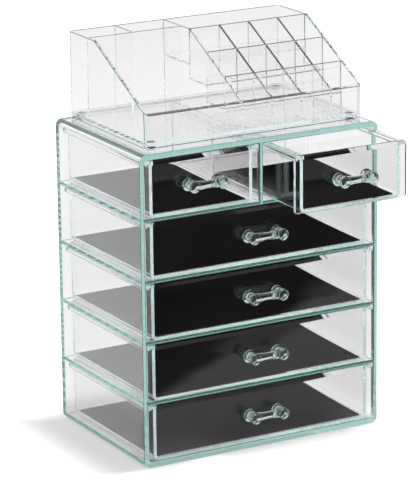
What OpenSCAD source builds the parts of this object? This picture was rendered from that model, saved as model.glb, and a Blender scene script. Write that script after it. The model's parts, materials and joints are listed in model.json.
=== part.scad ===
// Clear acrylic organizer: a case with two small and four wide drawers and a loose top tray.
// Millimetres. X is the width, -Y is the front, Z is up. The origin is the centre of the case's underside.

/* [Case] */
// Outer width of the case
case_w = 240; // [200:5:320]
// Outer depth of the case, front edge to back face
case_d = 159; // [130:1:200]
// Clear height of each of the five rows
row_h = 52.2; // [46:0.2:66]
// Thickness of the side walls
side_t = 4; // [3.5:0.5:6]
// Thickness of the top and bottom walls
plate_t = 5; // [4:0.5:7]
// Thickness of the shelves
shelf_t = 3; // [2.5:0.5:5]
// Thickness of the back panel
back_t = 3; // [2:0.5:5]
// Thickness of the upright divider in the top row
divider_t = 4; // [3:0.5:6]
// Radius of the four long outer edges
case_r = 6; // [5:0.5:9]

/* [Drawers] */
// Thickness of the drawer side and back walls
wall_t = 3; // [2:0.5:4]
// Thickness of the drawer floors
floor_t = 2.5; // [2:0.5:4]
// Thickness of the front panels
front_t = 4; // [3.5:0.5:6]
// Distance the front panel stands out beyond each side wall
wing_w = 5.5; // [4.5:0.5:8]
// Height of the flange along the top of each side
flange_h = 4.5; // [3.5:0.5:7]
// Height of the bevel along the top of the front panel
bevel_h = 4.4; // [3:0.2:6]
// Depth of that bevel
bevel_d = 2.2; // [1:0.2:3]
// Gap between a drawer and the walls beside it
side_gap = 0.5; // [0.4:0.1:1.2]
// Gap under a drawer
under_gap = 0.3; // [0.3:0.1:0.6]
// Gap over a drawer
over_gap = 0.5; // [0.4:0.1:1.5]
// Gap between a closed drawer and the back panel
rear_gap = 2.5; // [1:0.5:8]
// Distance that the right small drawer stands pulled out
pulled_out = 54; // [0:1:90]

/* [Liners] */
// Thickness of the black sheets
liner_t = 1; // [0.6:0.2:2]
// Distance from a sheet to the drawer walls
liner_gap = 2.5; // [2.5:0.5:6]
// Radius of the wide corner of the two small sheets
liner_corner_r = 18; // [4:1:24]

/* [Handles] */
// Distance between the two knobs
knob_spacing = 28.5; // [24:0.5:40]
// Distance the knobs stand out of the panel
knob_l = 14; // [13.5:0.5:20]
// Diameter of the knobs
knob_d = 10.6; // [9.8:0.2:14]
// Diameter of the bar at its ends
bar_d = 8; // [5:0.2:8.2]
// Distance from the panel to the middle of the bar
bar_out = 9; // [8.8:0.1:9.2]

/* [Tray] */
// Width of the tray
tray_w = 218.6; // [180:0.2:240]
// Depth of the tray, measured from the back face of the case
tray_d = 144.5; // [120:0.5:159]
// Height of the tray's flat rear top edge above the case
tray_h = 78.8; // [70:0.2:100]
// Height of the tray's front wall above the case
tray_front_h = 29.8; // [24:0.2:40]
// Distance from the front of the tray to the start of the flat top edge
tray_slope_l = 93.3; // [80:0.1:100]
// Thickness of the tray's outer walls
tray_t = 2.5; // [2:0.5:4]
// Thickness of the dividers in the tray
tray_div_t = 2; // [1.5:0.5:3]
// Sideways position of the tray on the case
tray_x = 3.5; // [-4:0.5:4]

/* [Hidden] */
$fn = 64;
rows = 5;
merge = 0.01;
case_h = 2 * plate_t + rows * row_h + (rows - 1) * shelf_t;
case_in_r = case_r - side_t + 0.5;
inner_w = case_w - 2 * side_t;
inner_h = case_h - 2 * plate_t;
front_y = -case_d / 2;
back_y = case_d / 2;
inner_d = case_d - back_t;
pitch = row_h + shelf_t;

// Drawer sizes
panel_h = row_h - under_gap - over_gap;
panel_r = case_in_r + merge;
drawer_l = inner_d - rear_gap;
drawer_in_r = 2.5;
drawer_r = drawer_in_r + wall_t - 0.5;
edge_r = 1.2;
small_bay_w = (inner_w - divider_t) / 2;
small_w = small_bay_w - 2 * side_gap;
wide_w = inner_w - 2 * side_gap;
small_x = (divider_t + small_bay_w) / 2;

// Knob profile
knob_base_d = knob_d + 1;
knob_base_l = 1.6;
neck_d = 8.4;
head_l = 3.2;
chamfer = 0.9;
bar_waist_d = bar_d - 1.2;

// Tray layout, measured from the tray's left front corner on the case
foot_h = 2.5;
foot_d = 8;
foot_in = 9;
skirt_gap = 0.5;
tray_floor_t = 3;
tray_floor_z = foot_h + tray_floor_t;
tray_r = 5;
slope_r = 9;
slope_steps = 6;
slope_a = atan2(tray_h - tray_front_h, tray_slope_l);
main_x = tray_w * 0.436;
left_x = tray_w * 0.21;
cross_y = tray_d * 0.745;
step_t = 2;
cell_w = (tray_w - tray_t - main_x - 4 * tray_div_t) / 4;
cell_l = (tray_slope_l - tray_t - 2 * tray_div_t) / 3;
step_z = [tray_floor_z, 18.6, 34, 47.3];

clear_colour = [0.80, 0.92, 0.89, 0.35];
black_colour = [0.05, 0.05, 0.055];

// ---------- shared outlines ----------

// Rounded rectangle with its lower left corner at the origin
module rounded_outline(w, h, r) {
    translate([r, 0])
        square([w - 2 * r, h]);
    translate([0, r])
        square([w, h - 2 * r]);
    for (x = [r, w - r])
        for (y = [r, h - r])
            translate([x, y])
                circle(r);
}

// Outline with only its two upper corners rounded
module arch_outline(w, h, r) {
    square([w, h - r]);
    translate([r, 0])
        square([w - 2 * r, h]);
    for (x = [r, w - r])
        translate([x, h - r])
            circle(r);
}

// Outline with only its upper right corner rounded
module corner_outline(w, h, r) {
    square([w - r, h]);
    square([w, h - r]);
    translate([w - r, h - r])
        circle(r);
}

// Extrudes an outline drawn in X and Z towards the back
module extrude_back(l) {
    translate([0, l, 0])
        rotate([90, 0, 0])
            linear_extrude(l)
                children();
}

// Extrudes an outline drawn in Y and Z to the right
module extrude_right(l) {
    rotate([90, 0, 90])
        linear_extrude(l)
            children();
}

// ---------- case ----------

module case_shell() {
    color(clear_colour)
        translate([-case_w / 2, front_y, 0])
            difference() {
                extrude_back(inner_d)
                    rounded_outline(case_w, case_h, case_r);
                translate([side_t, -merge, plate_t])
                    extrude_back(inner_d + 2 * merge)
                        rounded_outline(inner_w, inner_h, case_in_r);
            }
}

module back_panel() {
    color(clear_colour)
        translate([-case_w / 2, back_y - back_t, 0])
            extrude_back(back_t)
                rounded_outline(case_w, case_h, case_r);
}

// Shelves are counted from the top; row is the row they carry, counted from the bottom
module shelf(row) {
    color(clear_colour)
        translate([-inner_w / 2, front_y, plate_t + row * pitch - shelf_t])
            cube([inner_w, inner_d, shelf_t]);
}

module shelf_1() {
    shelf(4);
}

module shelf_2() {
    shelf(3);
}

module shelf_3() {
    shelf(2);
}

module shelf_4() {
    shelf(1);
}

module row_divider() {
    color(clear_colour)
        translate([-divider_t / 2, front_y, plate_t + 4 * pitch])
            cube([divider_t, inner_d, row_h]);
}

// ---------- drawers ----------

// Box part of a drawer: open on top, rounded along the floor and at the two rear corners
module drawer_box(w) {
    box_w = w - 2 * wing_w;
    translate([-box_w / 2, 0, 0])
        difference() {
            rounded_block(box_w, drawer_l, panel_h, drawer_r);
            translate([wall_t, 0, floor_t])
                rounded_block(box_w - 2 * wall_t, drawer_l - wall_t, panel_h, drawer_in_r);
        }
}

// Block with rounded lower edges at the sides and the rear, and rounded rear upright edges
module rounded_block(w, l, h, r) {
    intersection() {
        extrude_back(l)
            translate([0, h])
                mirror([0, 1])
                    arch_outline(w, h, r);
        linear_extrude(h)
            arch_outline(w, l, r);
        extrude_right(w)
            translate([0, h])
                mirror([0, 1])
                    corner_outline(l, h, r);
    }
}

// Front panel: full width of the row, bevelled along its top front edge
module front_panel(w) {
    translate([-w / 2, 0, 0])
        intersection() {
            extrude_back(front_t)
                rounded_outline(w, panel_h, panel_r);
            extrude_right(w)
                panel_section();
        }
}

module panel_section() {
    polygon([
        [edge_r, 0],
        [front_t, 0],
        [front_t, panel_h],
        [bevel_d, panel_h],
        [0, panel_h - bevel_h],
        [0, edge_r]
    ]);
    translate([edge_r, edge_r])
        circle(edge_r);
}

// Flanges along the top of both sides, flush with the ends of the front panel
module flanges(w) {
    flange_w = wing_w + wall_t / 2;
    for (side = [0, 1])
        mirror([side, 0, 0])
            translate([w / 2 - flange_w, bevel_d, panel_h - flange_h])
                extrude_back(drawer_l - drawer_r - bevel_d)
                    corner_outline(flange_w, flange_h, panel_r);
}

module drawer(w) {
    color(clear_colour)
        difference() {
            union() {
                drawer_box(w);
                front_panel(w);
                flanges(w);
            }
            translate([-w / 2 + wing_w + wall_t, front_t, floor_t])
                rounded_block(w - 2 * (wing_w + wall_t), drawer_l - wall_t - front_t, panel_h, drawer_in_r);
        }
}

// Thin sheet on the drawer floor
module liner(w, corner_r) {
    sheet_w = w - 2 * (wing_w + wall_t + liner_gap);
    sheet_l = drawer_l - front_t - wall_t - 2 * liner_gap;
    color(black_colour)
        translate([-sheet_w / 2, front_t + liner_gap, floor_t])
            linear_extrude(liner_t)
                corner_outline(sheet_w, sheet_l, corner_r);
}

// One knob, turned about its own axis, standing out towards the front
module knob() {
    neck_r = neck_d / 2;
    head_r = knob_d / 2;
    rotate([90, 0, 0])
        rotate_extrude()
            polygon([
                [0, 0],
                [knob_base_d / 2, 0],
                [knob_base_d / 2, knob_base_l],
                [neck_r, knob_base_l + 1.4],
                [neck_r, knob_l - head_l - 1],
                [head_r, knob_l - head_l],
                [head_r, knob_l - chamfer],
                [head_r - chamfer, knob_l],
                [0, knob_l]
            ]);
}

// Bar between the knobs, slightly waisted
module handle_bar() {
    half = knob_spacing / 2;
    translate([0, -bar_out, 0])
        rotate([0, 90, 0])
            rotate_extrude()
                polygon([
                    [0, -half],
                    [bar_d / 2, -half],
                    [bar_d / 2, -half + knob_base_d / 2],
                    [bar_waist_d / 2, -half + knob_base_d],
                    [bar_waist_d / 2, half - knob_base_d],
                    [bar_d / 2, half - knob_base_d / 2],
                    [bar_d / 2, half],
                    [0, half]
                ]);
}

module handle() {
    color(clear_colour)
        translate([0, 0, panel_h / 2]) {
            for (side = [-1, 1])
                translate([side * knob_spacing / 2, 0, 0])
                    knob();
            handle_bar();
        }
}

// Places a drawer, handle or liner in its row
module in_row(row, x, out) {
    translate([x, front_y - out, plate_t + row * pitch + under_gap])
        children();
}

module drawer_small_left() {
    in_row(4, -small_x, 0)
        drawer(small_w);
}

module handle_small_left() {
    in_row(4, -small_x, 0)
        handle();
}

module liner_small_left() {
    in_row(4, -small_x, 0)
        liner(small_w, liner_corner_r);
}

module drawer_small_right() {
    in_row(4, small_x, pulled_out)
        drawer(small_w);
}

module handle_small_right() {
    in_row(4, small_x, pulled_out)
        handle();
}

module liner_small_right() {
    in_row(4, small_x, pulled_out)
        liner(small_w, liner_corner_r);
}

module drawer_wide_1() {
    in_row(3, 0, 0)
        drawer(wide_w);
}

module handle_wide_1() {
    in_row(3, 0, 0)
        handle();
}

module liner_wide_1() {
    in_row(3, 0, 0)
        liner(wide_w, drawer_in_r);
}

module drawer_wide_2() {
    in_row(2, 0, 0)
        drawer(wide_w);
}

module handle_wide_2() {
    in_row(2, 0, 0)
        handle();
}

module liner_wide_2() {
    in_row(2, 0, 0)
        liner(wide_w, drawer_in_r);
}

module drawer_wide_3() {
    in_row(1, 0, 0)
        drawer(wide_w);
}

module handle_wide_3() {
    in_row(1, 0, 0)
        handle();
}

module liner_wide_3() {
    in_row(1, 0, 0)
        liner(wide_w, drawer_in_r);
}

module drawer_wide_4() {
    in_row(0, 0, 0)
        drawer(wide_w);
}

module handle_wide_4() {
    in_row(0, 0, 0)
        handle();
}

module liner_wide_4() {
    in_row(0, 0, 0)
        liner(wide_w, drawer_in_r);
}

// ---------- tray ----------

// Places tray pieces on the case
module on_case() {
    translate([tray_x - tray_w / 2, back_y - tray_d, case_h])
        children();
}

// Height of the tray's top edge at a distance from its front
function edge_z(y) = min(tray_h, tray_front_h + y * tan(slope_a));

// Side outline of the tray: low at the front, sloping up to a flat rear edge, with an eased corner between
module slope_outline() {
    centre_y = tray_slope_l + slope_r * tan(slope_a / 2);
    polygon([
        [0, 0],
        [0, tray_front_h],
        for (i = [slope_steps:-1:0])
            [
                centre_y - slope_r * sin(i * slope_a / slope_steps),
                tray_h - slope_r + slope_r * cos(i * slope_a / slope_steps)
            ],
        [tray_d, tray_h],
        [tray_d, 0]
    ]);
}

// Outer walls and the floor between them
module tray_shell() {
    color(clear_colour)
        on_case()
            difference() {
                intersection() {
                    translate([0, 0, skirt_gap])
                        linear_extrude(tray_h)
                            rounded_outline(tray_w, tray_d, tray_r);
                    extrude_right(tray_w)
                        slope_outline();
                }
                translate([0, 0, tray_floor_z])
                    inner_plan(tray_h);
                translate([0, 0, foot_h - tray_h])
                    inner_plan(tray_h);
            }
}

// Wall parallel to the back, behind the open left area
module tray_cross_wall() {
    color(clear_colour)
        on_case()
            translate([tray_t, cross_y, tray_floor_z])
                cube([main_x - tray_t, tray_div_t, tray_h - tray_floor_z]);
}

// Short divider between the two rear left compartments
module tray_left_divider() {
    color(clear_colour)
        on_case()
            translate([left_x, cross_y + tray_div_t, tray_floor_z])
                cube([tray_div_t, tray_d - tray_t - cross_y - tray_div_t, tray_h - tray_floor_z]);
}

// Full-depth wall with the same slope as the sides
module tray_main_divider() {
    color(clear_colour)
        on_case()
            intersection() {
                translate([main_x, tray_t, tray_floor_z])
                    cube([tray_div_t, tray_d - 2 * tray_t, tray_h]);
                translate([main_x, 0, 0])
                    extrude_right(tray_div_t)
                        slope_outline();
            }
}

// Distance from the tray's front to the near end of lipstick row k, counted from the front
function row_start(k) = tray_t + k * (cell_l + tray_div_t);

// Wall behind lipstick row k, standing on the floor of that row
module lipstick_wall(k) {
    y = row_start(k) + cell_l;
    color(clear_colour)
        on_case()
            translate([main_x + tray_div_t, y, step_z[k]])
                cube([
                    tray_w - tray_t - main_x - tray_div_t,
                    tray_div_t,
                    edge_z(y + tray_div_t / 2) - step_z[k]
                ]);
}

module lipstick_wall_rear() {
    lipstick_wall(2);
}

module lipstick_wall_middle() {
    lipstick_wall(1);
}

module lipstick_wall_front() {
    lipstick_wall(0);
}

// Fins of one column line, one piece in each of the three rows
module lipstick_fins(column) {
    x = main_x + column * (cell_w + tray_div_t);
    color(clear_colour)
        on_case()
            for (k = [0:2])
                intersection() {
                    translate([x, row_start(k), step_z[k]])
                        cube([tray_div_t, cell_l, tray_h]);
                    translate([x, 0, 0])
                        extrude_right(tray_div_t)
                            slope_outline();
                }
}

module lipstick_fins_left() {
    lipstick_fins(1);
}

module lipstick_fins_middle() {
    lipstick_fins(2);
}

module lipstick_fins_right() {
    lipstick_fins(3);
}

// Raised floor k, reaching under the wall behind it
module step_floor(k, l) {
    color(clear_colour)
        on_case()
            translate([main_x + tray_div_t, row_start(k), step_z[k] - step_t])
                cube([tray_w - tray_t - main_x - tray_div_t, l, step_t]);
}

module lipstick_floor_middle() {
    step_floor(1, cell_l + tray_div_t);
}

module lipstick_floor_rear() {
    step_floor(2, cell_l + tray_div_t);
}

module brush_floor() {
    intersection() {
        step_floor(3, tray_d - tray_t - row_start(3));
        on_case()
            inner_plan(tray_h);
    }
}

// Block that fills the tray between its outer walls
module inner_plan(h) {
    translate([tray_t, tray_t, 0])
        linear_extrude(h)
            rounded_outline(tray_w - 2 * tray_t, tray_d - 2 * tray_t, tray_r - tray_t);
}

module tray_feet() {
    color(clear_colour)
        on_case()
            for (x = [foot_in, tray_w - foot_in])
                for (y = [foot_in, tray_d - foot_in])
                    translate([x, y, 0])
                        cylinder(h = foot_h, d = foot_d);
}

// ---------- output ----------

case_shell();
back_panel();
shelf_1();
shelf_2();
shelf_3();
shelf_4();
row_divider();
drawer_small_left();
handle_small_left();
liner_small_left();
drawer_small_right();
handle_small_right();
liner_small_right();
drawer_wide_1();
handle_wide_1();
liner_wide_1();
drawer_wide_2();
handle_wide_2();
liner_wide_2();
drawer_wide_3();
handle_wide_3();
liner_wide_3();
drawer_wide_4();
handle_wide_4();
liner_wide_4();
tray_shell();
tray_cross_wall();
tray_left_divider();
tray_main_divider();
lipstick_wall_rear();
lipstick_wall_middle();
lipstick_wall_front();
lipstick_fins_left();
lipstick_fins_middle();
lipstick_fins_right();
lipstick_floor_middle();
lipstick_floor_rear();
brush_floor();
tray_feet();
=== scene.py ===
"""Clear acrylic organizer with black drawer sheets, on a white table in soft studio light."""

import json
import math

import bmesh
import bpy
from mathutils import Matrix, Quaternion, Vector

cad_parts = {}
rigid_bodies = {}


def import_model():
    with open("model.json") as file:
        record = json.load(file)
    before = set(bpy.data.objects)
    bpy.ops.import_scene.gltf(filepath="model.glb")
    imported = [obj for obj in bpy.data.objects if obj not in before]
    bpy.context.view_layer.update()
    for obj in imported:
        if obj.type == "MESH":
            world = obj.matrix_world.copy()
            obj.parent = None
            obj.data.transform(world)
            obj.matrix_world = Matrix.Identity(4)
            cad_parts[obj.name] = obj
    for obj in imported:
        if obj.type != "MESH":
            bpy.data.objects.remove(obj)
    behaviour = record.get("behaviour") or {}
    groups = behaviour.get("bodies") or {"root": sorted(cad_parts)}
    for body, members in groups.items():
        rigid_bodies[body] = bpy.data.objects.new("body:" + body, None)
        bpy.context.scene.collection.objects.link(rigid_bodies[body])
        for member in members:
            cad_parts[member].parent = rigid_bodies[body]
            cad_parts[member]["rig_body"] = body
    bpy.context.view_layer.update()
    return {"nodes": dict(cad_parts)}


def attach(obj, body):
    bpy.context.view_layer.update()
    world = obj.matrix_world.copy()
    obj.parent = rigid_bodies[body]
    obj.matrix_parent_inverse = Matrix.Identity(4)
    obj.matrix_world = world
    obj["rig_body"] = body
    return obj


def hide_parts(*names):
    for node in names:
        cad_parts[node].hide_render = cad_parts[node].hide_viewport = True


MM = 0.001
DRAWERS = ("small_left", "small_right", "wide_1", "wide_2", "wide_3", "wide_4")

# The photograph's frame and the camera solved from the case's corners in it
IMAGE_W = 408
IMAGE_H = 490
FOCAL_PX = 2994.5
SENSOR_W = 36
CAMERA_PLACE = Vector((-1275.6, -2260.0, 913.2)) * MM
CAMERA_YAW = 0.5092
CAMERA_PITCH = 0.2800
CAMERA_ROLL = -0.0125

# Acrylic: light scattered on its way, painted as a glow per metre that the acrylic gives off by
# itself, and the tint of long ways
ACRYLIC_IOR = 1.49
PAINTED_HAZE_GLOW_COLOUR = (1.0, 0.72, 0.80, 1)
PAINTED_HAZE_GLOW_STRENGTH = 0.8
SURFACE_COLOUR = (1, 0.989, 0.993, 1)
SHEET_TINT = (0.28, 0.667, 0.60, 1)
PULL_TINT = (0.25, 0.62, 0.56, 1)
WEAR_ROUGHNESS = 0.02

# Widths of the eased edges, and the share of it that edges other than the front upper ones get
CASE_EASE = 1.6 * MM
CASE_EASE_SEGMENTS = 3
CASE_EASE_OTHERS = 0.65
THIN_EASE = 0.4 * MM
SMALL_EASE = 0.15 * MM
SHARP_ANGLE = math.radians(35)
# Wall tops narrower than this also get the painted edge shade
TRAY_WALL_TOP = 1.8 * MM

# Air between a handle and its panel, and between a sheet and the drawer's floor
AIR_GAP = 0.05 * MM

# Distances within which vertices are taken as one
SEAM = 0.002 * MM
JOIN_SEAM = 0.1 * MM
SHORTEST_EDGE = 0.005 * MM
FLAT_ANGLE = math.radians(0.5)

# Stage
FLOOR_HALF = 6
FLOOR_DROP = 0.3 * MM
MAX_BOUNCES = 80
MAX_TRANSPARENT = 24

# The table's own light: all over, less of it for the camera, and more away from the object
TABLE_GLOW = 0.5
CAMERA_DIMMING = 0.1
OPEN_GLOW = (0.46, 0.58)
OPEN_GLOW_RISE = (0.5, 1.1)

# Where the patch of table that keeps the shadow ends, on each side of the object
PATCH_LEFT = (-0.18, -0.135)
PATCH_RIGHT = (0.13, 0.17)
PATCH_FRONT = (-0.105, -0.07)
PATCH_BEHIND = (0.075, 0.105)

# Painted dark reflection, a black patch of table in front that only the acrylic shows: its slanted
# and wavy near edge, its far edge, and how dark it is
DARK_REFLECTION_SLANT = 0.636
DARK_REFLECTION_WAVE = 0.06
DARK_REFLECTION_NEAR = (-0.245, -0.20)
DARK_REFLECTION_FAR = (-1.10, -1.05)
DARK_REFLECTION_CLOUD = (0.35, 0.7)
DARK_REFLECTION_COVER = (0.93, 0.98)
# A fainter painted dark reflection over the rest of the table in front
FRONT_DIM_EDGE = (-0.16, -0.08)
FRONT_DIM_COVER = 0.42

# Painted shade for the gaps beside the drawers, a black strip of table on the left: its slant and
# edges, and the ray depth from which it is seen
GAP_SHADE_SLANT = 1.79
GAP_SHADE_LEFT = (-0.305, -0.29)
GAP_SHADE_RIGHT = (-0.265, -0.25)
GAP_SHADE_DEPTH = (3.4, 3.6)
GAP_SHADE_COVER = 0.9

# World: levels for the camera, for matt surfaces and, from front to back, for the acrylic
WHITE = 1.0
MATT_LEVEL = 0.8
SKY_LEVELS = (0.1, 1.35)
SKY_TURN = (-0.3, 0.15)
HORIZON = (0.08, 0.16)
GUIDED_DEPTH = (4, 9)
GUIDED_LEVEL = 1.1
FAR_GUIDED_DEPTH = (18, 30)
FAR_GUIDED_LEVEL = 1.6

# Lamp, with its power in watts
KEY_PLACE = (0.24, -0.1, 2.1)
KEY_TARGET = (0, 0, 0)
KEY_SIZE = (0.2, 0.2)
KEY_POWER = 30

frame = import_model()


# ---------- camera ----------

def make_camera():
    """The camera that took the photograph, turned instead of shifted."""
    data = bpy.data.cameras.new("camera")
    data.sensor_width = SENSOR_W
    data.lens = FOCAL_PX / max(IMAGE_W, IMAGE_H) * data.sensor_width
    data.clip_start = 0.05
    data.clip_end = 50
    camera = bpy.data.objects.new("camera", data)
    forward = Vector((
        math.sin(CAMERA_YAW) * math.cos(CAMERA_PITCH),
        math.cos(CAMERA_YAW) * math.cos(CAMERA_PITCH),
        -math.sin(CAMERA_PITCH),
    ))
    camera.rotation_mode = "QUATERNION"
    camera.rotation_quaternion = (
        forward.to_track_quat("-Z", "Y") @ Quaternion((0, 0, 1), CAMERA_ROLL)
    )
    camera.location = CAMERA_PLACE
    bpy.context.scene.collection.objects.link(camera)
    bpy.context.scene.camera = camera


# ---------- node helpers ----------

class Nodes:
    """A node tree with short calls for adding, setting and joining nodes."""

    def __init__(self, tree):
        self.tree = tree
        tree.nodes.clear()

    def add(self, kind, values=None, **settings):
        """A new node, with the given input values and settings."""
        node = self.tree.nodes.new("ShaderNode" + kind)
        for key, value in settings.items():
            setattr(node, key, value)
        for key, value in (values or {}).items():
            node.inputs[key].default_value = value
        return node

    def link(self, start, end):
        self.tree.links.new(start, end)

    def feed(self, socket, source):
        """Gives a socket a number, or links another socket to it."""
        if isinstance(source, (int, float)):
            socket.default_value = source
        else:
            self.link(source, socket)


def mix_of(n, factor, first, second):
    """first where the factor is 0, second where it is 1; both may be sockets or numbers."""
    mix = n.add("Mix")
    n.link(factor, mix.inputs["Factor"])
    n.feed(mix.inputs["A"], first)
    n.feed(mix.inputs["B"], second)
    return mix.outputs["Result"]


def ramp(n, source, start, end, low, high):
    """A number that runs smoothly from low to high as the source runs from start to end."""
    limits = {"From Min": start, "From Max": end, "To Min": low, "To Max": high}
    node = n.add("MapRange", limits, interpolation_type="SMOOTHSTEP")
    n.link(source, node.inputs["Value"])
    return node.outputs["Result"]


def sum_of(n, first, second, factor=1.0):
    """first * factor + second, for sockets or numbers."""
    node = n.add("Math", operation="MULTIPLY_ADD")
    for socket, source in zip(node.inputs, (first, factor, second)):
        n.feed(socket, source)
    return node.outputs[0]


def product(n, first, second):
    return sum_of(n, first, 0.0, second)


def bigger(n, first, second):
    node = n.add("Math", operation="MAXIMUM")
    n.link(first, node.inputs[0])
    n.link(second, node.inputs[1])
    return node.outputs[0]


def bounced(n, path, start, end):
    """Rises from 0 to 1 as a ray gathers bounces."""
    return ramp(n, path.outputs["Ray Depth"], start, end, 0.0, 1.0)


def noise(n, scale, detail):
    """A cloudy noise in the object's own coordinates, and those coordinates."""
    place = n.add("TexCoord")
    cloud = n.add("TexNoise", {"Scale": scale, "Detail": detail})
    n.link(place.outputs["Object"], cloud.inputs["Vector"])
    return cloud.outputs["Fac"], place.outputs["Object"]


def new_material(name):
    material = bpy.data.materials.new(name)
    material.use_nodes = True
    return material, Nodes(material.node_tree)


# ---------- materials ----------

def acrylic_material(name, tint_colour, tint_density, painted_edge_shade, frost):
    """Clear acrylic: polished, duller on eased edges with painted shade on them, tinted over long
    ways.
    """
    material, n = new_material(name)
    out = n.add("OutputMaterial")
    glass = n.add("BsdfPrincipled", {"Transmission Weight": 1, "IOR": ACRYLIC_IOR})
    eased_face = n.add("Attribute", attribute_name="eased")
    # Eased faces and thin wall tops get a darker base colour: painted shade that draws dark outlines
    # along the edges
    colour = n.add("ValToRGB")
    colour.color_ramp.elements[0].color = SURFACE_COLOUR
    colour.color_ramp.elements[1].color = painted_edge_shade
    n.link(eased_face.outputs["Fac"], colour.inputs["Fac"])
    n.link(colour.outputs["Color"], glass.inputs["Base Color"])
    wear, _ = noise(n, scale=55, detail=3)
    limits = {"From Min": 0.5, "From Max": 0.8, "To Min": 0.0, "To Max": WEAR_ROUGHNESS}
    rough = n.add("MapRange", limits)
    n.link(wear, rough.inputs["Value"])
    frosted = product(n, eased_face.outputs["Fac"], frost)
    n.link(bigger(n, rough.outputs["Result"], frosted), glass.inputs["Roughness"])
    tint = n.add("VolumeAbsorption", {"Color": tint_colour, "Density": tint_density})
    # Painted light: the volume glows by itself, in place of light scattered inside the acrylic
    painted_glow = n.add("Emission", {"Color": PAINTED_HAZE_GLOW_COLOUR, "Strength": PAINTED_HAZE_GLOW_STRENGTH})
    inside = n.add("AddShader")
    n.link(tint.outputs["Volume"], inside.inputs[0])
    n.link(painted_glow.outputs["Emission"], inside.inputs[1])
    n.link(glass.outputs["BSDF"], out.inputs["Surface"])
    n.link(inside.outputs["Shader"], out.inputs["Volume"])
    return material


def liner_material():
    """Black plastic sheet, matte, with a faint unevenness."""
    material, n = new_material("black_sheet")
    out = n.add("OutputMaterial")
    skin = n.add("BsdfPrincipled", {"Specular IOR Level": 0.0})
    cloud, _ = noise(n, scale=40, detail=4)
    shade = n.add("ValToRGB")
    shade.color_ramp.elements[0].color = (0.003, 0.003, 0.0035, 1)
    shade.color_ramp.elements[1].color = (0.008, 0.008, 0.009, 1)
    n.link(cloud, shade.inputs["Fac"])
    n.link(shade.outputs["Color"], skin.inputs["Base Color"])
    rough = n.add("MapRange", {"To Min": 0.45, "To Max": 0.6})
    n.link(cloud, rough.inputs["Value"])
    n.link(rough.outputs["Result"], skin.inputs["Roughness"])
    n.link(skin.outputs["BSDF"], out.inputs["Surface"])
    return material


# ---------- mesh helpers ----------

def add_object(name, mesh):
    piece = bpy.data.objects.new(name, mesh)
    bpy.context.scene.collection.objects.link(piece)
    return piece


def baked(piece):
    """Replaces the object's mesh with what its modifiers make of it."""
    graph = bpy.context.evaluated_depsgraph_get()
    mesh = bpy.data.meshes.new_from_object(piece.evaluated_get(graph))
    piece.modifiers.clear()
    piece.data = mesh
    return piece


def closed_and_flat(mesh, seam):
    """Joins vertices nearer than the seam and makes each flat face one face."""
    work = bmesh.new()
    work.from_mesh(mesh)
    bmesh.ops.remove_doubles(work, verts=work.verts, dist=seam)
    bmesh.ops.dissolve_limit(
        work, angle_limit=FLAT_ANGLE, verts=work.verts, edges=work.edges
    )
    work.to_mesh(mesh)
    work.free()


def without_short_edges(mesh):
    """Collapses the tiny edges that rounding leaves behind."""
    work = bmesh.new()
    work.from_mesh(mesh)
    bmesh.ops.dissolve_degenerate(work, dist=SHORTEST_EDGE, edges=work.edges)
    work.to_mesh(mesh)
    work.free()


def clean_copy(node):
    """A copy of a CAD node's mesh with its seams closed and its flat faces whole."""
    mesh = frame["nodes"][node].data.copy()
    mesh.materials.clear()
    # The stored normals would be wrong on the faces made whole here
    if "custom_normal" in mesh.attributes:
        mesh.attributes.remove(mesh.attributes["custom_normal"])
    closed_and_flat(mesh, SEAM)
    return mesh


def united(name, nodes):
    """One closed mesh made of several CAD nodes that touch."""
    piece = add_object(name, clean_copy(nodes[0]))
    for node in nodes[1:]:
        other = add_object("tool", clean_copy(node))
        join = piece.modifiers.new("join", "BOOLEAN")
        join.operation = "UNION"
        join.solver = "EXACT"
        join.object = other
        baked(piece)
        bpy.data.objects.remove(other)
    closed_and_flat(piece.data, JOIN_SEAM)
    return piece


def faces_up_in_front(edge):
    """Whether an edge lies between a face that looks up and one that looks to the front."""
    normals = [face.normal for face in edge.link_faces]
    return max(n.z for n in normals) > 0.9 and min(n.y for n in normals) < -0.9


def mark_outer_edges(mesh, width, others):
    """Weights the sharp outer edges: 1 for front upper ones, a share for the others."""
    work = bmesh.new()
    work.from_mesh(mesh)
    mark = mesh.attributes.new("bevel_weight_edge", "FLOAT", "EDGE")
    for edge in work.edges:
        sharp = edge.is_manifold and edge.calc_face_angle() > SHARP_ANGLE
        long_enough = edge.calc_length() > 1.1 * width
        if sharp and edge.is_convex and long_enough:
            mark.data[edge.index].value = 1.0 if faces_up_in_front(edge) else others
    work.free()


def longest_side(polygon, mesh):
    """The length of a face's longest edge."""
    lengths = []
    for loop in polygon.loop_indices:
        start, end = mesh.edges[mesh.loops[loop].edge_index].vertices
        lengths.append((mesh.vertices[start].co - mesh.vertices[end].co).length)
    return max(lengths)


def is_wall_top(polygon, mesh, narrow):
    """Whether a face that looks up is the long narrow top of a thin wall."""
    if polygon.normal.z <= 0.3:
        return False
    return polygon.area < narrow * longest_side(polygon, mesh)


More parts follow.
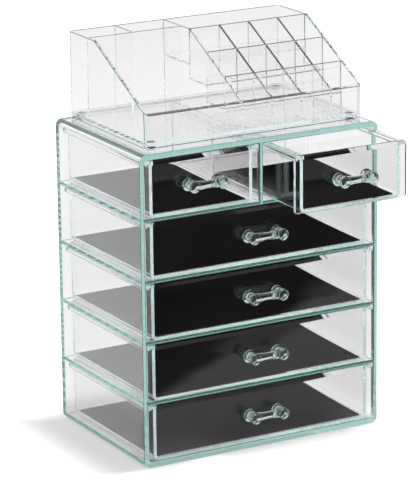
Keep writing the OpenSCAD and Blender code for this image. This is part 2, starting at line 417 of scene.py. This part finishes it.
def eased(piece, width, segments=2, others=1.0, narrow=0.0):
    """Rounds the outer edges, marks them and narrow wall tops for painted edge shade and a duller
    polish, and keeps flat faces flat.
    """
    for polygon in piece.data.polygons:
        polygon.use_smooth = True
    mark_outer_edges(piece.data, width, others)
    bevel = piece.modifiers.new("edges", "BEVEL")
    bevel.width = width
    bevel.segments = segments
    bevel.limit_method = "WEIGHT"
    bevel.use_clamp_overlap = False
    # The faces that the bevel makes get the second material slot, to know them by
    bevel.material = 1
    piece.data.materials.clear()
    for _ in range(2):
        piece.data.materials.append(None)
    for polygon in piece.data.polygons:
        polygon.material_index = 0
    baked(piece)
    without_short_edges(piece.data)
    # This mark tells the acrylic where to paint shade along the edges and where to make them duller
    mark = piece.data.attributes.new("eased", "FLOAT", "FACE")
    for polygon in piece.data.polygons:
        rounded = polygon.material_index == 1
        wall_top = is_wall_top(polygon, piece.data, narrow)
        mark.data[polygon.index].value = float(rounded or wall_top)
        polygon.material_index = 0
    piece.data.set_sharp_from_angle(angle=math.radians(50))
    normals = piece.modifiers.new("normals", "WEIGHTED_NORMAL")
    normals.keep_sharp = True
    return baked(piece)


def part_from_panel(mesh):
    """Shortens a handle a little at its back, so that air lies between it and the panel."""
    front = min(vert.co.y for vert in mesh.vertices)
    back = max(vert.co.y for vert in mesh.vertices)
    shrink = 1 - AIR_GAP / (back - front)
    for vert in mesh.vertices:
        vert.co.y = front + (vert.co.y - front) * shrink


def finish_piece(piece, material, body, slot, *nodes):
    """Gives a piece its material and body, and hides the CAD nodes that it stands for. The slot is
    not used.
    """
    piece.data.materials.clear()
    piece.data.materials.append(material)
    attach(piece, body)
    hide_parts(*nodes)


# ---------- pieces ----------

def nodes_of(body):
    return [n for n, o in frame["nodes"].items() if o["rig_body"] == body]


def make_case(acrylic):
    nodes = nodes_of("case")
    whole = united("case_moulding", sorted(nodes))
    piece = eased(whole, CASE_EASE, CASE_EASE_SEGMENTS, CASE_EASE_OTHERS)
    finish_piece(piece, acrylic, "case", "clear", *nodes)


def make_tray(acrylic):
    nodes = nodes_of("tray")
    piece = eased(united("tray_moulding", sorted(nodes)), THIN_EASE, narrow=TRAY_WALL_TOP)
    finish_piece(piece, acrylic, "tray", "clear", *nodes)


def make_drawer(name, acrylic, pull, black):
    """A drawer's box, its handle and the sheet on its floor."""
    body = "drawer_" + name
    box = eased(united(body + "_moulding", [body]), THIN_EASE)
    finish_piece(box, acrylic, body, "clear", body)
    handle = eased(united("handle_" + name + "_turned", ["handle_" + name]), SMALL_EASE)
    part_from_panel(handle.data)
    finish_piece(handle, pull, body, "clear", "handle_" + name)
    sheet = eased(united("liner_" + name + "_sheet", ["liner_" + name]), SMALL_EASE)
    sheet.data.transform(Matrix.Translation((0, 0, AIR_GAP)))
    finish_piece(sheet, black, body, "liner", "liner_" + name)


# ---------- stage ----------

def floor_glow(n, x, y, path):
    """How bright the white table is by itself: less near the object, where its shadow lies."""
    left = ramp(n, x, *PATCH_LEFT, 1.0, 0.0)
    right = ramp(n, x, *PATCH_RIGHT, 0.0, 1.0)
    front = ramp(n, y, *PATCH_FRONT, 1.0, 0.0)
    behind = ramp(n, y, *PATCH_BEHIND, 0.0, 1.0)
    open_floor = bigger(n, bigger(n, left, right), bigger(n, front, behind))
    near_object = sum_of(n, path.outputs["Is Camera Ray"], -CAMERA_DIMMING, TABLE_GLOW)
    added = ramp(n, y, *OPEN_GLOW_RISE, *OPEN_GLOW)
    return sum_of(n, open_floor, added, near_object)


def painted_dark_reflection(n, x, y, cloud, path):
    """How much painted dark reflection covers: a black patch of table in front, for rays mirrored by
    the acrylic or through it.
    """
    slanted = sum_of(n, x, y, DARK_REFLECTION_SLANT)
    wavy = sum_of(n, cloud, slanted, DARK_REFLECTION_WAVE)
    near_edge = ramp(n, wavy, *DARK_REFLECTION_NEAR, 1.0, 0.0)
    far_edge = ramp(n, y, *DARK_REFLECTION_FAR, 0.0, 1.0)
    cover = ramp(n, cloud, *DARK_REFLECTION_CLOUD, *DARK_REFLECTION_COVER)
    dark_patch = product(n, product(n, near_edge, far_edge), cover)
    # A fainter painted dark reflection over the rest of the table in front
    dim = ramp(n, y, *FRONT_DIM_EDGE, FRONT_DIM_COVER, 0.0)
    # Rays that come through the acrylic count as glossy too
    return product(n, bigger(n, dark_patch, dim), path.outputs["Is Glossy Ray"])


def painted_gap_shade(n, x, y, path):
    """Painted shade for the gaps: how much a narrow black strip on the left covers, for rays that
    crossed several walls.

    It darkens the gap beside each drawer from where the camera stands. From elsewhere it shows
    in other places.
    """
    slanted = sum_of(n, x, y, GAP_SHADE_SLANT)
    left_edge = ramp(n, slanted, *GAP_SHADE_LEFT, 0.0, 1.0)
    right_edge = ramp(n, slanted, *GAP_SHADE_RIGHT, 1.0, 0.0)
    strip = product(n, left_edge, right_edge)
    seen = ramp(n, path.outputs["Ray Depth"], *GAP_SHADE_DEPTH, 0.0, GAP_SHADE_COVER)
    return product(n, strip, seen)


def make_floor():
    """A white table with the object's shadow, and painted dark reflection and painted gap shade that
    only the acrylic shows.
    """
    half = FLOOR_HALF
    mesh = bpy.data.meshes.new("floor")
    corners = [(-half, -half, 0), (half, -half, 0), (half, half, 0), (-half, half, 0)]
    mesh.from_pydata(corners, [], [(0, 1, 2, 3)])
    floor = add_object("floor", mesh)
    floor.location.z = -FLOOR_DROP
    material, n = new_material("white_table")
    out = n.add("OutputMaterial")
    path = n.add("LightPath")
    cloud, place = noise(n, scale=5, detail=2)
    axes = n.add("SeparateXYZ")
    n.link(place, axes.inputs["Vector"])
    x = axes.outputs["X"]
    y = axes.outputs["Y"]

    # The table as the camera and the acrylic see it
    soft = n.add("BsdfDiffuse", {"Color": (0.5, 0.5, 0.5, 1)})
    glow = n.add("Emission")
    n.link(floor_glow(n, x, y, path), glow.inputs["Strength"])
    shown = n.add("AddShader")
    n.link(soft.outputs["BSDF"], shown.inputs[0])
    n.link(glow.outputs["Emission"], shown.inputs[1])

    # The painted dark reflection and painted gap shade, black on the table, laid over it
    dark = n.add("BsdfDiffuse", {"Color": (0.01, 0.01, 0.01, 1)})
    covered = n.add("MixShader")
    painted_dark = bigger(n, painted_dark_reflection(n, x, y, cloud, path), painted_gap_shade(n, x, y, path))
    n.link(painted_dark, covered.inputs["Fac"])
    n.link(shown.outputs["Shader"], covered.inputs[1])
    n.link(dark.outputs["BSDF"], covered.inputs[2])

    # The table as it lights matt surfaces
    skin = n.add("BsdfDiffuse", {"Color": (0.85, 0.85, 0.85, 1)})
    lit = n.add("MixShader")
    n.link(path.outputs["Is Diffuse Ray"], lit.inputs["Fac"])
    n.link(covered.outputs["Shader"], lit.inputs[1])
    n.link(skin.outputs["BSDF"], lit.inputs[2])
    n.link(lit.outputs["Shader"], out.inputs["Surface"])
    mesh.materials.append(material)


def make_world():
    """White for the camera, even for matt surfaces; for the acrylic dark in front, bright behind."""
    world = bpy.data.worlds.new("studio")
    bpy.context.scene.world = world
    world.use_nodes = True
    n = Nodes(world.node_tree)
    out = n.add("OutputWorld")
    back = n.add("Background")
    place = n.add("TexCoord")
    axes = n.add("SeparateXYZ")
    n.link(place.outputs["Generated"], axes.inputs["Vector"])
    path = n.add("LightPath")
    sky = ramp(n, axes.outputs["Y"], *SKY_TURN, *SKY_LEVELS)
    up = ramp(n, axes.outputs["Z"], *HORIZON, 0.0, 1.0)
    around = mix_of(n, up, WHITE, sky)
    # Light guided far inside the walls is brighter, so that their ends glow as photographed
    around = mix_of(n, bounced(n, path, *GUIDED_DEPTH), around, GUIDED_LEVEL)
    around = mix_of(n, bounced(n, path, *FAR_GUIDED_DEPTH), around, FAR_GUIDED_LEVEL)
    level = mix_of(n, path.outputs["Is Diffuse Ray"], around, MATT_LEVEL)
    level = mix_of(n, path.outputs["Is Camera Ray"], level, WHITE)
    n.link(level, back.inputs["Strength"])
    n.link(back.outputs["Background"], out.inputs["Surface"])


def make_lamp(name, place, target, size, power):
    """A rectangular lamp that looks at its target."""
    data = bpy.data.lights.new(name, "AREA")
    data.shape = "RECTANGLE"
    data.size, data.size_y = size
    data.energy = power
    lamp = bpy.data.objects.new(name, data)
    lamp.location = place
    lamp.rotation_mode = "QUATERNION"
    lamp.rotation_quaternion = (Vector(target) - Vector(place)).to_track_quat("-Z", "Y")
    bpy.context.scene.collection.objects.link(lamp)


# ---------- scene ----------

make_camera()
make_floor()
make_world()
make_lamp("key", KEY_PLACE, KEY_TARGET, KEY_SIZE, KEY_POWER)
thick = acrylic_material(
    "clear_acrylic", SHEET_TINT, tint_density=9, painted_edge_shade=(0.04, 0.08, 0.07, 1), frost=0.12
)
thin = acrylic_material(
    "thin_acrylic", SHEET_TINT, tint_density=3.5, painted_edge_shade=(0.015, 0.04, 0.033, 1), frost=0.08
)
pull = acrylic_material(
    "pull_acrylic", PULL_TINT, tint_density=32, painted_edge_shade=(0.6, 0.85, 0.8, 1), frost=0.0
)
black = liner_material()
make_case(thick)
make_tray(thin)
for drawer in DRAWERS:
    make_drawer(drawer, thin, pull, black)

scene = bpy.context.scene
scene.view_settings.view_transform = "Standard"
scene.cycles.max_bounces = MAX_BOUNCES
scene.cycles.transmission_bounces = MAX_BOUNCES
scene.cycles.glossy_bounces = MAX_BOUNCES
scene.cycles.transparent_max_bounces = MAX_TRANSPARENT
